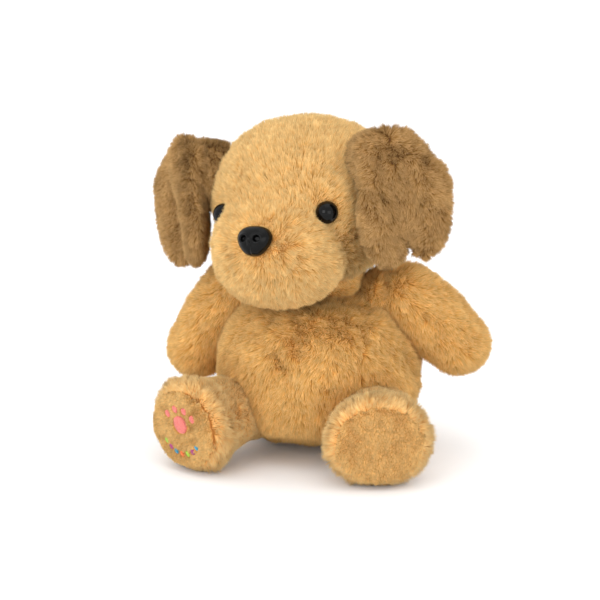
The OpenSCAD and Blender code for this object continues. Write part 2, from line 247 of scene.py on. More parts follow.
def thread_material(name, colour):
    """Satin thread, brighter and darker from one pass of the needle to the next."""
    material, nodes, links, shader = new_material(name)
    place = nodes.new("ShaderNodeTexCoord")
    cloud = nodes.new("ShaderNodeTexNoise")
    cloud.inputs["Scale"].default_value = 900
    pale = tuple(min(1, c * 1.25) for c in colour)
    deep = tuple(c * 0.7 for c in colour)
    colours = ramp(nodes, [(0.3, deep), (0.7, pale)])
    links.new(place.outputs["Object"], cloud.inputs["Vector"])
    links.new(cloud.outputs["Fac"], colours.inputs["Fac"])
    links.new(colours.outputs["Color"], shader.inputs["Base Color"])
    shader.inputs["Roughness"].default_value = 0.45
    shader.inputs["Sheen Weight"].default_value = 0.3
    return material


# The first colour of each pile is its root's, painted shade of the deep pile.
honey_pile = plush_material(
    "honey_pile", (0.62, 0.27, 0.06), (0.84, 0.47, 0.15), (0.93, 0.65, 0.29))
# A deeper, more orange copy of the head's pile: painted shade over the body, neck, tail and arms.
belly_pile = plush_material(
    "belly_pile", (0.60, 0.23, 0.045), (0.84, 0.44, 0.115), (0.95, 0.61, 0.245))
# A lighter, redder copy of the pile: painted light that makes up for the shade on the legs' sides.
lit_leg_pile = plush_material(
    "lit_leg_pile", (0.92, 0.42, 0.11), (0.98, 0.57, 0.20), (0.99, 0.70, 0.33))
ear_pile = plush_material(
    "ear_pile", (0.13, 0.052, 0.014), (0.39, 0.205, 0.065), (0.68, 0.42, 0.18))
sole_pile = plush_material(
    "sole_pile", (0.52, 0.22, 0.05), (0.78, 0.44, 0.14), (0.90, 0.60, 0.26))
# The backings take their piles' root colours: painted shade under the pile.
honey_backing = backing_material("honey_backing", (0.60, 0.27, 0.06), (0.42, 0.17, 0.035))
ear_backing = backing_material("ear_backing", (0.18, 0.08, 0.03), (0.09, 0.035, 0.014))
eye_plastic = moulded_material("eye_plastic", (0.002, 0.002, 0.002), 0.06, 0.16, 0.02)
nose_plastic = moulded_material("nose_plastic", (0.002, 0.002, 0.002), 0.2, 0.14, 0.06)
washer_plastic = moulded_material("washer_plastic", (0.8, 0.82, 0.83), 0.35, 0.5, 0.1)
THREADS = {
    "pink": (0.72, 0.16, 0.13),
    "lime": (0.32, 0.52, 0.02),
    "plum": (0.36, 0.02, 0.16),
    "teal": (0.01, 0.24, 0.38),
    "amber": (0.80, 0.15, 0.01),
}

# ---------------------------------------------------------------- helpers for meshes


def keep(bm, name, material, smooth=True):
    """Turns a bmesh into an object of the scene, faces outward."""
    bmesh.ops.recalc_face_normals(bm, faces=bm.faces)
    return keep_as_is(bm, name, material, smooth)


def keep_as_is(bm, name, material, smooth=True):
    mesh = bpy.data.meshes.new(name)
    bm.to_mesh(mesh)
    bm.free()
    mesh.shade_smooth() if smooth else mesh.shade_flat()
    mesh.materials.append(material)
    made = bpy.data.objects.new(name, mesh)
    bpy.context.scene.collection.objects.link(made)
    return made


def settle(made):
    """Applies an object's modifiers to its mesh."""
    graph = bpy.context.evaluated_depsgraph_get()
    applied = bpy.data.meshes.new_from_object(made.evaluated_get(graph), depsgraph=graph)
    made.modifiers.clear()
    made.data = applied
    return made


def coordinates(mesh):
    flat = np.empty(len(mesh.vertices) * 3, np.float32)
    mesh.vertices.foreach_get("co", flat)
    return flat.reshape(-1, 3).astype(float)


def set_coordinates(mesh, points):
    mesh.vertices.foreach_set("co", points.astype(np.float32).ravel())
    mesh.update()


def local(points, place):
    """Points of the frame in a piece's own axes."""
    back = np.array(place.inverted())
    return points @ back[:3, :3].T + back[:3, 3]


def world(points, place):
    """Points in a piece's own axes, in the frame."""
    there = np.array(place)
    return points @ there[:3, :3].T + there[:3, 3]


def near(distance, width):
    """1 on a line and 0 past its width."""
    return np.clip(1 - np.abs(distance) / width, 0, 1)


def step(low, high, values):
    """0 at low and before it, 1 at high and past it, and smooth between them."""
    t = np.clip((values - low) / (high - low), 0, 1)
    return t * t * (3 - 2 * t)


def unit(vectors):
    return vectors / np.maximum(np.linalg.norm(vectors, axis=1, keepdims=True), 1e-12)


def clear_of(points, centre, radius):
    return np.linalg.norm(points - np.array(centre), axis=1) > radius


def oval_ball(bm, half, power, place, seam_axis=2):
    """Adds a squarish oval of revolution about seam_axis. half is its half size along X, Y and Z."""
    ball = bmesh.ops.create_icosphere(bm, subdivisions=5, radius=1)
    ring = [axis for axis in range(3) if axis != seam_axis]
    for vert in ball["verts"]:
        around = math.hypot(*(vert.co[axis] / half[axis] for axis in ring))
        along = abs(vert.co[seam_axis]) / half[seam_axis]
        vert.co = vert.co / (around**power + along**power) ** (1 / power)
    bmesh.ops.transform(bm, matrix=place, verts=ball["verts"])
    return ball["verts"]


def arc(x, z, r, start, end, steps=12):
    """Points of an arc in the XZ plane, by angle in degrees."""
    angles = [math.radians(start + (end - start) * i / steps) for i in range(steps + 1)]
    return [Vector((x + r * math.cos(a), 0, z + r * math.sin(a))) for a in angles]


def turned(bm, outline, place):
    """Spins an outline round Z into a closed form."""
    verts = [bm.verts.new(point) for point in outline]
    edges = [bm.edges.new(pair) for pair in zip(verts, verts[1:])]
    bmesh.ops.spin(
        bm, geom=verts + edges, cent=(0, 0, 0), axis=(0, 0, 1), angle=2 * math.pi,
        steps=48, use_merge=True)
    bmesh.ops.remove_doubles(bm, verts=bm.verts, dist=0.01 * MM)
    bmesh.ops.transform(bm, matrix=place, verts=bm.verts)


# ---------------------------------------------------------------- padded covers

# The backing starts this far inside the CAD solid's face.
SKIN = 1.0 * MM
# A cover starts this much smaller than it ends, because the filling swells it.
SWELL = 1.2 * MM
FILL_FRAMES = 20
TORSO_SEAM_W = 5 * MM
HEAD_SEAM_W = 4 * MM
LIMB_SEAM_W = 3 * MM
# How deep the eyes and the nose are pulled in, and how far round them that shows.
DENT_DEPTH = 2.5 * MM
EYE_DENT_R = 9 * MM
NOSE_DENT_R = 12 * MM


def even_out(made, voxel):
    remesh = made.modifiers.new("even", "REMESH")
    remesh.mode = "VOXEL"
    remesh.voxel_size = voxel
    settle(made)


def swell(made, held, most):
    """Fills a cover as cloth under pressure.

    held is how firmly each point is sewn down, from 0 to 1, and most is the furthest that one may move.
    """
    start = coordinates(made.data)
    sewn = made.vertex_groups.new(name="sewn")
    for index in np.nonzero(held > 0.02)[0]:
        sewn.add([int(index)], float(held[index]), "REPLACE")
    cloth = made.modifiers.new("filling", "CLOTH")
    settings = cloth.settings
    settings.quality = 4
    settings.mass = 0.3
    settings.tension_stiffness = 30
    settings.compression_stiffness = 30
    settings.bending_stiffness = 2
    settings.use_pressure = True
    settings.uniform_pressure_force = 4
    settings.vertex_group_mass = "sewn"
    settings.effector_weights.gravity = 0
    cloth.point_cache.frame_start = 1
    cloth.point_cache.frame_end = FILL_FRAMES
    for number in range(1, FILL_FRAMES + 1):
        bpy.context.scene.frame_set(number)
    settle(made)
    bpy.context.scene.frame_set(1)
    moved = coordinates(made.data) - start
    far = np.linalg.norm(moved, axis=1, keepdims=True)
    set_coordinates(made.data, start + moved * np.minimum(1, most / np.maximum(far, 1e-9)))
    made.vertex_groups.clear()


def padded_cover(made, sewn_down, voxel=4 * MM, most=3 * MM, dents=()):
    """Makes a closed form an even mesh, fills it, and smooths it. dents are (place, depth, width)."""
    even_out(made, voxel)
    swell(made, np.clip(sewn_down(coordinates(made.data)), 0, 1), most)
    smooth = made.modifiers.new("smooth", "SUBSURF")
    smooth.levels = smooth.render_levels = 1
    settle(made)
    points = coordinates(made.data)
    middle = points.mean(axis=0)
    for place, depth, width in dents:
        away = np.linalg.norm(points - np.array(place), axis=1)
        inward = unit((middle - np.array(place))[None, :])
        points += inward * (depth * np.exp(-((away / width) ** 2)))[:, None]
    set_coordinates(made.data, points)
    made.data.shade_smooth()
    return made


def torso_reach(p):
    """How far out points are, where 1 is the torso's own surface."""
    half = np.where(p[:, 2] > TORSO_BELLY_Z, TORSO_TOP - TORSO_BELLY_Z, TORSO_BELLY_Z + SEAT_PRESS)
    around = np.hypot(p[:, 0], p[:, 1]) / TORSO_R
    up = np.abs(p[:, 2] - TORSO_BELLY_Z) / half
    return (around**TORSO_POWER + up**TORSO_POWER) ** (1 / TORSO_POWER)


# Middle and radius of the mounds of filling beside the neck. The left one is pushed up by its arm.
SHOULDERS = (((47, 5, 109), 19), ((-46, 6, 104), 16))


def torso_cover():
    bm = bmesh.new()
    start = SKIN + SWELL
    half = (TORSO_R - start, TORSO_R - start, 1)
    ball = oval_ball(bm, half, TORSO_POWER, Matrix.Identity(4))
    for vert in ball:
        rise = (TORSO_TOP - TORSO_BELLY_Z if vert.co.z > 0 else TORSO_BELLY_Z + SEAT_PRESS) - start
        flat = vert.co.to_2d().length / half[0]
        vert.co.z = math.copysign(rise * max(0, 1 - flat**TORSO_POWER) ** (1 / TORSO_POWER), vert.co.z)
        vert.co.z += TORSO_BELLY_Z
    for middle, radius in SHOULDERS:
        oval_ball(bm, [radius * MM] * 3, 2, Matrix.Translation(Vector(middle) * MM))
    slope = (0, -math.sin(SEAT_RISE), -math.cos(SEAT_RISE))
    for point, normal in (((0, 0, SKIN), (0, 0, -1)), (SEAT_EDGE, slope)):
        cut = bmesh.ops.bisect_plane(
            bm, geom=bm.verts[:] + bm.edges[:] + bm.faces[:], plane_co=point, plane_no=normal,
            clear_outer=True)
        rim = [e for e in cut["geom_cut"] if isinstance(e, bmesh.types.BMEdge)]
        bmesh.ops.holes_fill(bm, edges=rim)
    made = keep(bm, "torso_cover", honey_backing)

    def sewn_down(p):
        side = near(np.abs(p[:, 0]) - BELLY_HALF_W, TORSO_SEAM_W) * (p[:, 1] < 0)
        spine = near(p[:, 0], TORSO_SEAM_W) * (p[:, 1] > 0)
        return np.maximum(np.maximum(side, spine) * 0.9, p[:, 2] < 3 * MM)

    return padded_cover(made, sewn_down)


def muzzle_depth(q):
    """How far points of the head lie outside its main oval. It is 0 along the seam of the muzzle."""
    ring = np.hypot(q[:, 1], q[:, 2]) / HEAD_R
    across = np.abs(q[:, 0]) / HEAD_HALF_W
    return ((ring**HEAD_POWER + across**HEAD_POWER) ** (1 / HEAD_POWER) - 1) * HEAD_R


def on_muzzle(q):
    """Whether points of the head's cover lie on the muzzle."""
    m = q - np.array(MUZZLE_MIDDLE)
    ring = np.hypot(m[:, 1] / MUZZLE_HALF.y, m[:, 2] / MUZZLE_HALF.z)
    across = np.abs(m[:, 0]) / MUZZLE_HALF.x
    return (ring**HEAD_POWER + across**HEAD_POWER < 1.1) & (muzzle_depth(q) > 0.8 * MM)


def head_cover():
    bm = bmesh.new()
    start = SKIN + SWELL
    oval_ball(bm, (HEAD_HALF_W - start, HEAD_R - start, HEAD_R - start), HEAD_POWER, HEAD, 0)
    oval_ball(bm, MUZZLE_HALF - Vector((start, start, start)), HEAD_POWER,
              HEAD @ Matrix.Translation(MUZZLE_MIDDLE), 0)
    made = keep(bm, "head_cover", honey_backing)

    def sewn_down(p):
        q = local(p, HEAD)
        strip = near(np.abs(q[:, 0]) - CROWN_HALF_W, HEAD_SEAM_W) * (q[:, 2] > 0)
        back = near(q[:, 1] - BACK_SEAM_Y, HEAD_SEAM_W)
        mouth = near(muzzle_depth(q), HEAD_SEAM_W) * (q[:, 1] < -30 * MM)
        return np.maximum(np.maximum(strip, back) * 0.6, mouth)

    dents = [(eyes[name], DENT_DEPTH, EYE_DENT_R) for name in SIDES]
    dents.append((HEAD @ NOSE_MIDDLE, DENT_DEPTH, NOSE_DENT_R))
    return padded_cover(made, sewn_down, most=2.5 * MM, dents=dents)


# The fold down an ear's front, and the notch between the two lobes at its end.
EAR_FOLD = 8 * MM
EAR_NOTCH = {"left": 8 * MM, "right": 2 * MM}
# How far the edge by the head and the outer edge come forward.
EAR_CURL = (3 * MM, 6 * MM)
# How far the top's outer corner droops, and its middle rises.
EAR_DROOP = 11 * MM
EAR_CREST = 3.5 * MM
# How far the outer edge bulges, and how far the edge by the head is cut back.
EAR_BULGE = 3.5 * MM
EAR_CUT_BACK = 8 * MM


def ear_valley(u, v):
    """How deep the fold down an ear's front is. u runs outward from the head and v up, from -1 to 1."""
    middle = 0.12 - 0.14 * v
    return np.exp(-(((u - middle) / 0.26) ** 2)) * (1 - step(0.35, 0.95, v))


def shaped_ear(p, name, half):
    """Gives a plain pad its fold, a drooping round outer edge and two lobes at its end."""
    side = SIDES[name]
    u, v = side * p[:, 0] / half.x, p[:, 2] / half.z
    front = step(0, 0.5, -p[:, 1] / half.y)
    p[:, 1] += ear_valley(u, v) * front * EAR_FOLD
    p[:, 1] -= step(0, 1, -u) * (1 - step(0.2, 0.9, v)) * EAR_CURL[0]
    p[:, 1] -= step(-0.2, 1, u) * (1 - step(0.3, 1, v)) * EAR_CURL[1]
    # One lobe hangs lower: the one by the head on the left ear, and the outer one on the right ear.
    lower = step(-0.2, 0.15, -u) * 2 * MM if side > 0 else step(-0.2, 0.6, u) * 6 * MM
    notch = np.exp(-(((u - 0.22) / 0.12) ** 2)) * EAR_NOTCH[name]
    p[:, 2] += step(0.3, 1, -v) * (notch - lower)
    p[:, 2] -= step(0.1, 1, u) * step(0.2, 1, v) * EAR_DROOP
    p[:, 2] += step(0.2, 1, v) * (1 - np.clip(np.abs(u), 0, 1) ** 2) * EAR_CREST
    p[:, 0] += side * step(0.1, 0.8, u) * (1 - np.clip(np.abs(v + 0.15), 0, 1) ** 2) * EAR_BULGE
    p[:, 0] += side * step(0.1, 1, -u) * (1 - step(0.5, 0.9, v)) * EAR_CUT_BACK
    return p


def ear_cover(name):
    """A padded flap, joined to the head by its root."""
    side = SIDES[name]
    bm = bmesh.new()
    half = EAR_HALF - Vector((1, 1, 1)) * (SKIN + SWELL)
    power = 2.8
    ball = bmesh.ops.create_icosphere(bm, subdivisions=6, radius=1)["verts"]
    p = np.array([v.co for v in ball])
    flat = np.abs(p[:, 0] / half.x) ** power + np.abs(p[:, 2] / half.z) ** power
    p /= np.sqrt(flat ** (2 / power) + (p[:, 1] / half.y) ** 2)[:, None]
    for vert, point in zip(ball, world(shaped_ear(p, name, half), EAR[name])):
        vert.co = point
    inner, outer = (Vector((side * x, y, z)) * MM for x, y, z in EAR_ROOT)
    along = (outer - inner).normalized()
    place = HEAD @ Matrix.Translation((inner + outer) / 2)
    place = place @ along.to_track_quat("X", "Z").to_matrix().to_4x4()
    root_half = ((outer - inner).length / 2 + EAR_ROOT_REACH[0], *EAR_ROOT_REACH[1:])
    oval_ball(bm, root_half, 2.6, place, 0)
    made = keep(bm, f"ear_{name}_cover", ear_backing)

    def sewn_down(p):
        q = local(p, EAR[name])
        u, v = side * q[:, 0] / EAR_HALF.x, q[:, 2] / EAR_HALF.z
        fold = ear_valley(u, v) * (q[:, 1] < 0)
        edge = near(q[:, 1], 2.5 * MM) * (np.maximum(np.abs(u), np.abs(v)) > 0.8)
        return np.maximum(step(0.6, 0.95, fold), edge * 0.7)

    return padded_cover(made, sewn_down, voxel=3.2 * MM)


# How much further the filling pushes out each hand, and how much fatter it makes an arm.
ARM_MORE = {"left": 0, "right": 3 * MM}
ARM_FAT = 3 * MM


def arm_cover(name):
    bm = bmesh.new()
    start = SKIN + SWELL
    fat = ARM_FAT - start
    outline = arc(0, 0, ARM_ROOT_R + fat, -90, 0) + arc(0, ARM_L / 2, HAND_R + fat, -10, 10)
    outline += arc(0, ARM_L + ARM_MORE[name], HAND_R - start, -5, 90)
    turned(bm, outline, ARM[name])
    made = keep(bm, f"arm_{name}_cover", honey_backing)
    return padded_cover(made, lambda p: near(local(p, ARM[name])[:, 0], LIMB_SEAM_W) * 0.6)


# A foot's width and height, as shares of a round one's.
FOOT_SPREAD = {"left": (1.07, 0.96), "right": (1.03, 0.98)}


def place_on_leg(bm, verts, name):
    """Spreads the foot's end of leg parts, and puts them in the frame."""
    wide, tall = FOOT_SPREAD[name]
    for vert in verts:
        amount = float(step(10 * MM, 40 * MM, vert.co.z))
        vert.co.x *= 1 + (wide - 1) * amount
        vert.co.y *= 1 + (tall - 1) * amount
    bmesh.ops.transform(bm, matrix=LEG[name], verts=verts)


def sole_reach(q, name):
    """How far leg points lie from the middle of the sole."""
    wide, tall = FOOT_SPREAD[name]
    return np.hypot(q[:, 0] / wide, q[:, 1] / tall)


def leg_cover(name):
    bm = bmesh.new()
    start = SKIN + SWELL
    outline = arc(0, 0, LEG_ROOT_R - start, -90, 25)
    outline += arc(FOOT_R - FOOT_EDGE, LEG_L - FOOT_EDGE, FOOT_EDGE - start, -35, 70)
    outline += [Vector((SOLE_R - 5 * MM, 0, LEG_L - 3.5 * MM)), Vector((0, 0, LEG_L - 4 * MM))]
    turned(bm, outline, Matrix.Identity(4))
    place_on_leg(bm, bm.verts, name)
    made = keep(bm, f"leg_{name}_cover", honey_backing)

    def sewn_down(p):
        q = local(p, LEG[name])
        around_sole = (q[:, 2] > LEG_L - 7 * MM) & (sole_reach(q, name) < SOLE_R - 3 * MM)
        return np.maximum(near(q[:, 1], LIMB_SEAM_W) * 0.6, around_sole)

    return padded_cover(made, sewn_down, most=2.5 * MM)


# How far a sole pad bulges on either side of its rim, how square its edge is, and how wide its hem is.
SOLE_RISE = 2.6 * MM
SOLE_POWER = 2.6
SOLE_HEM = 1.5 * MM


def sole_height(r):
    """Height of the sole pad's domed face above its rim, at a distance from its middle."""
    return SOLE_RISE * np.maximum(0, 1 - (r / SOLE_R) ** SOLE_POWER) ** (1 / SOLE_POWER)


def sole_cover(name):
    bm = bmesh.new()
    place = Matrix.Translation((0, 0, LEG_L - SOLE_RISE))
    pad = oval_ball(bm, (SOLE_R + SOLE_HEM, SOLE_R + SOLE_HEM, SOLE_RISE), SOLE_POWER, place)
    place_on_leg(bm, pad, name)
    made = keep(bm, f"sole_{name}_pad", honey_backing)
    return padded_cover(made, lambda p: np.ones(len(p)), voxel=2.2 * MM, most=0.5 * MM)


def tail_cover():
    bm = bmesh.new()
    outline = arc(0, 0, TAIL_R - SKIN, -90, 10) + arc(0, TAIL_L, TAIL_R - SKIN - 1 * MM, -5, 90)
    turned(bm, outline, TAIL)
    made = keep(bm, "tail_cover_pad", honey_backing)
    return padded_cover(made, lambda p: np.zeros(len(p)), voxel=3 * MM, most=1 * MM)


# ---------------------------------------------------------------- pile


def ripples(points, wavelength, seed, waves=10):
    """A smooth random vector for each point, that changes over about one wavelength."""
    dice = np.random.default_rng(seed)
    total = np.zeros_like(points)
    for _ in range(waves):
        heading = dice.normal(size=3)
        heading /= np.linalg.norm(heading)
        phase = points @ heading * (2 * math.pi / (wavelength * dice.uniform(0.7, 1.4)))
        total += np.sin(phase + dice.uniform(0, 2 * math.pi))[:, None] * dice.normal(size=3)
    return total / math.sqrt(waves)


def nearest_leader(points, share, dice):
    """For each strand, the one that leads its tuft: a random share of the strands lead one."""
    leaders = np.nonzero(dice.random(len(points)) < share)[0]
    tree = kdtree.KDTree(len(leaders))
    for index in leaders:
        tree.insert(points[index], int(index))
    tree.balance()
    return np.array([tree.find(point)[1] for point in points], int)


def rooted(cover, inside, cuts):
    """The chosen part of a cover as small loose triangles, each poked into a strand of three faces."""
    bm = bmesh.new()
    bm.from_mesh(cover.data)
    centres = np.array([f.calc_center_median() for f in bm.faces])
    left_out = np.nonzero(~inside(centres))[0]
    bm.faces.ensure_lookup_table()
    bmesh.ops.delete(bm, geom=[bm.faces[i] for i in left_out], context="FACES")
    bmesh.ops.triangulate(bm, faces=bm.faces[:])
    bmesh.ops.subdivide_edges(bm, edges=bm.edges[:], cuts=cuts, use_grid_fill=True)
    bmesh.ops.split_edges(bm, edges=bm.edges[:])
    bm.normal_update()
    normals = np.array([v.normal for v in bm.verts])
    bmesh.ops.poke(bm, faces=bm.faces[:])
    return bm, normals


def strands(mesh):
    """The tip of each strand and the three points at its foot.

    A strand's three faces share its tip, which was made last, so it has the highest number of their points.
    Between them they name each point of its foot twice.
    """
    corners = np.empty(len(mesh.polygons) * 3, np.int32)
    mesh.polygons.foreach_get("vertices", corners)
    corners = corners.reshape(-1, 3)
    tips = corners.max(axis=1)
    order = np.argsort(tips, kind="stable")
    feet = np.sort(corners[order], axis=1)[:, :2].reshape(-1, 6)
    feet = np.stack([feet.min(axis=1), feet.sum(axis=1) // 2 - feet.min(axis=1) - feet.max(axis=1),
                     feet.max(axis=1)], axis=1)
    return tips[order].reshape(-1, 3)[:, 0], feet


# The way that pile lies wanders over these two distances.
TUFT_W = 9 * MM
SWIRL_W = 26 * MM
# A strand's foot is sunk this far into the backing, and no tip is lower than this above the floor.
FOOT_SINK = 0.4 * MM
LOWEST_TIP = 0.2 * MM
# A strand shorter than this is thinner too.
FULL_L = 3 * MM


def paint(mesh, name, values):
    mesh.attributes.new(name, "FLOAT", "POINT").data.foreach_set("value", values.astype(np.float32))


def pile(name, cover, material, inside, flow, length, lean=0.85, cuts=1, base=0.42 * MM,
         tuft=0.07, gather=0.4, wave=0.28, stray=0.24, seed=1, length_at=None):
    """Grows pile on the part of a cover for which inside(points) is true.

    flow(points) is the way that it is brushed, and lean is how far it lies over. tuft is the share of
    strands that lead a tuft, and gather is how far the others' tips are drawn to them. wave is how much its
    way wanders from place to place, stray from strand to strand, and length_at(points) trims it.
    """
    bm, root_normals = rooted(cover, inside, cuts)
    made = keep_as_is(bm, name, material)
    mesh = made.data
    tips, feet = strands(mesh)
    co = coordinates(mesh)
    dice = np.random.default_rng(seed)
    foot = co[feet]
    middle = foot.mean(axis=1)
    normal = unit(root_normals[feet].mean(axis=1))
    across = foot - middle[:, None, :]
    spread = np.linalg.norm(across, axis=2, keepdims=True)
    sideways = np.cross(normal, unit(dice.normal(size=normal.shape)))
    middle = middle + sideways * dice.uniform(0, 1, (len(middle), 1)) * spread.mean() * 0.9

    brushed = flow(middle)
    brushed = unit(brushed - normal * (brushed * normal).sum(1, keepdims=True))
    pull = ripples(middle, TUFT_W, seed + 1) * wave + ripples(middle, SWIRL_W, seed + 2) * wave
    pull -= normal * (pull * normal).sum(1, keepdims=True)
    heading = unit(normal + brushed * lean + pull + dice.normal(size=normal.shape) * stray)
    long = length * dice.uniform(0.7, 1.08, len(middle))
    if length_at is not None:
        long = long * length_at(middle)
    ends = middle + heading * long[:, None]
    leader = nearest_leader(middle, tuft, dice)
    drawn = gather * dice.uniform(0.4, 1.2, (len(middle), 1))
    ends += (ends[leader] - ends) * drawn
    ends[:, 2] = np.maximum(ends[:, 2], LOWEST_TIP)

    thick = base * np.minimum(1, long / FULL_L) ** 0.5
    ring = across / np.maximum(spread, 1e-9) * thick[:, None, None]
    co[feet.ravel()] = (middle[:, None, :] - normal[:, None, :] * FOOT_SINK + ring).reshape(-1, 3)
    co[tips] = ends
    set_coordinates(mesh, co)

    up = np.zeros(len(co))
    up[tips] = 1
    paint(mesh, "along", up)
    tuft_tone = dice.normal(size=len(tips))[leader]
    tone = 1 + tuft_tone * 0.07 + dice.normal(size=len(tips)) * 0.07
    tones = np.ones(len(co))
    tones[tips] = tone
    tones[feet.ravel()] = np.repeat(tone, 3)
    paint(mesh, "tone", tones)
    shading = np.zeros_like(co)
    shading[feet.ravel()] = np.repeat(normal, 3, axis=0)
    shading[tips] = unit(normal + heading * 0.5)
    mesh.normals_split_custom_set_from_vertices(shading)
    return made


def away_from(centre):
    """Pile brushed outward from a point."""
    return lambda p: p - np.array(centre)


def steady(direction):
    """Pile brushed one way."""
    return lambda p: np.tile(np.array(direction, float), (len(p), 1))


DOWN = (0, 0, -1)
PILE_L = 7.5 * MM


def declare(piece, body, slot, *nodes):
    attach(piece, body)
    return finish_of(piece, slot, *nodes)


def finish_of(piece, slot, *nodes):
    if nodes:
        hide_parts(*nodes)
    return piece


def refinish(node, material):
    """Gives a CAD node that keeps its shape its own material."""
    frame["nodes"][node].data.materials.clear()
    frame["nodes"][node].data.materials.append(material)


# ---------------------------------------------------------------- torso, neck and tail

sockets = [(pivot("neck_turn"), NECK_R), (pivot("tail_wag"), TAIL_R - 2 * MM)]
for side_name in SIDES:
    sockets.append((pivot(f"arm_{side_name}_raise"), ARM_ROOT_R - 2 * MM))
    sockets.append((pivot(f"leg_{side_name}_lift"), LEG_ROOT_R - 2 * MM))


def bare_of_sockets(points):
    free = points[:, 2] > 2 * MM
    for centre, radius in sockets:
        free &= clear_of(points, centre, radius)
    return free


def shorter_near_sockets(points):
    """Pile is trimmed where a limb, the neck or the tail leaves the torso."""
    size = np.ones(len(points))
    for centre, radius in sockets:
        away = np.linalg.norm(points - np.array(centre), axis=1) - radius
        size = np.minimum(size, np.clip(0.5 + away / (9 * MM), 0.5, 1))
    seat = np.clip((points[:, 2] - 1 * MM) / (9 * MM), 0.15, 1)
    return np.minimum(size, seat)


# Torso pile is brushed outward and down from here.
COLLAR = (0, 12 * MM, 150 * MM)


def belly(p):
    return (p[:, 1] < 0) & (np.abs(p[:, 0]) < BELLY_HALF_W)


def make_torso():
    cover = torso_cover()
    declare(cover, "torso", "plush_body", "torso_stuffing", "base_panel")
    front = pile("belly_pile", cover, belly_pile, lambda p: belly(p) & bare_of_sockets(p),
                 away_from(COLLAR), PILE_L, seed=11, length_at=shorter_near_sockets)
    declare(front, "torso", "plush_body", "belly_front")
    for name, side in SIDES.items():
        back = pile(f"back_{name}_pile", cover, belly_pile,
                    lambda p: ~belly(p) & (p[:, 0] * side >= 0) & bare_of_sockets(p),
                    away_from(COLLAR), PILE_L, seed=20 + side, length_at=shorter_near_sockets)
        declare(back, "torso", "plush_body", f"back_{name}")


NECK_HALF = Vector((31, 31, 17)) * MM


def make_neck():
    """A soft collar between the torso and the head."""
    bm = bmesh.new()
    middle = node_middle("neck_stuffing")
    oval_ball(bm, NECK_HALF, 2.4, Matrix.Translation(middle))
    cover = padded_cover(keep(bm, "neck_cover", honey_backing), lambda p: np.ones(len(p)), most=0.5 * MM)
    declare(cover, "neck", "plush_body", "neck_stuffing")
    fur = pile("neck_pile", cover, belly_pile, lambda p: p[:, 2] > middle.z - 12 * MM,
               away_from(middle), PILE_L * 0.7, seed=33)
    declare(fur, "neck", "plush_body")


def make_tail():
    cover = tail_cover()
    declare(cover, "tail", "plush_body", "tail_stuffing")
    fur = pile("tail_pile", cover, belly_pile, lambda p: p[:, 1] > pivot("tail_wag").y - 3 * MM,
               steady(TAIL.to_3x3() @ Vector((0, 0, 1))), PILE_L * 0.9, seed=99)
    declare(fur, "tail", "plush_body", "tail_cover")


# ---------------------------------------------------------------- head

eyes = {name: node_middle(f"eye_{name}") for name in SIDES}
nose_place = HEAD @ Matrix.Translation(NOSE_MIDDLE) @ turn(math.radians(90) - NOSE_TILT, "X")


# No pile grows this near the middle of the nose or of an eye.
NOSE_BARE_R = 9.5 * MM
EYE_BARE_R = 6 * MM


def bare_of_face(points):
    free = clear_of(points, nose_place.translation, NOSE_BARE_R)
    free &= clear_of(points, pivot("neck_nod"), NECK_R)
    for eye in eyes.values():
        free &= clear_of(points, eye, EYE_BARE_R)
    return free


def shorter_near_face(points):
    """Pile is trimmed round the eyes and the nose, and under the chin by the neck."""
    size = np.ones(len(points))
    for eye in eyes.values():
        away = np.linalg.norm(points - np.array(eye), axis=1)
        size = np.minimum(size, np.clip((away - 3 * MM) / (10 * MM), 0.35, 1))
    away = np.linalg.norm(points - np.array(nose_place.translation), axis=1)
    size = np.minimum(size, np.clip((away - 6 * MM) / (14 * MM), 0.35, 1))
    away = np.linalg.norm(points - np.array(pivot("neck_nod")), axis=1)
    return np.minimum(size, np.clip((away - 10 * MM) / (22 * MM), 0.3, 1))


def brushed_over(p):
    """Over the head the pile runs up from the muzzle, over the crown and down the back."""
    q = local(p, HEAD)
    way = np.stack([q[:, 0] * 0.6, q[:, 2], -q[:, 1]], axis=1)
    return way @ np.array(HEAD.to_3x3()).T


def crown(q):
    return (np.abs(q[:, 0]) < CROWN_HALF_W) & (q[:, 2] > 0) & (q[:, 1] < BACK_SEAM_Y)


# Each panel's CAD node, and the part of the head that it covers, in the head's own axes.
HEAD_PANELS = {
    "crown": ("forehead_panel", crown),
    "cheek_left": ("head_side_left", lambda q: (q[:, 0] > 0) & (q[:, 1] < BACK_SEAM_Y) & ~crown(q)),
    "cheek_right": ("head_side_right", lambda q: (q[:, 0] <= 0) & (q[:, 1] < BACK_SEAM_Y) & ~crown(q)),
    "nape": ("head_back", lambda q: q[:, 1] >= BACK_SEAM_Y),
}


def make_head():
    cover = head_cover()
    declare(cover, "head", "plush_body", "head_stuffing", "muzzle_stuffing")
    for index, (panel, (node, test)) in enumerate(HEAD_PANELS.items()):
        fur = pile(f"{panel}_pile", cover, honey_pile,
                   lambda p: test(local(p, HEAD)) & ~on_muzzle(local(p, HEAD)) & bare_of_face(p),
                   brushed_over, PILE_L, seed=40 + index, length_at=shorter_near_face)
        declare(fur, "head", "plush_body", node)
    chin_line = MUZZLE_MIDDLE.z - MUZZLE_HALF.z / 3
    for index, (panel, low, high) in enumerate((("muzzle", chin_line, 1), ("chin", -1, chin_line))):
        fur = pile(f"{panel}_pile", cover, honey_pile,
                   lambda p: on_muzzle(local(p, HEAD)) & (local(p, HEAD)[:, 2] > low)
                   & (local(p, HEAD)[:, 2] <= high) & bare_of_face(p),
                   away_from(nose_place.translation), PILE_L * 0.92, seed=50 + index,
                   length_at=shorter_near_face)
        declare(fur, "head", "plush_body", f"{panel}_panel")


NOSE_POWER = 2.5
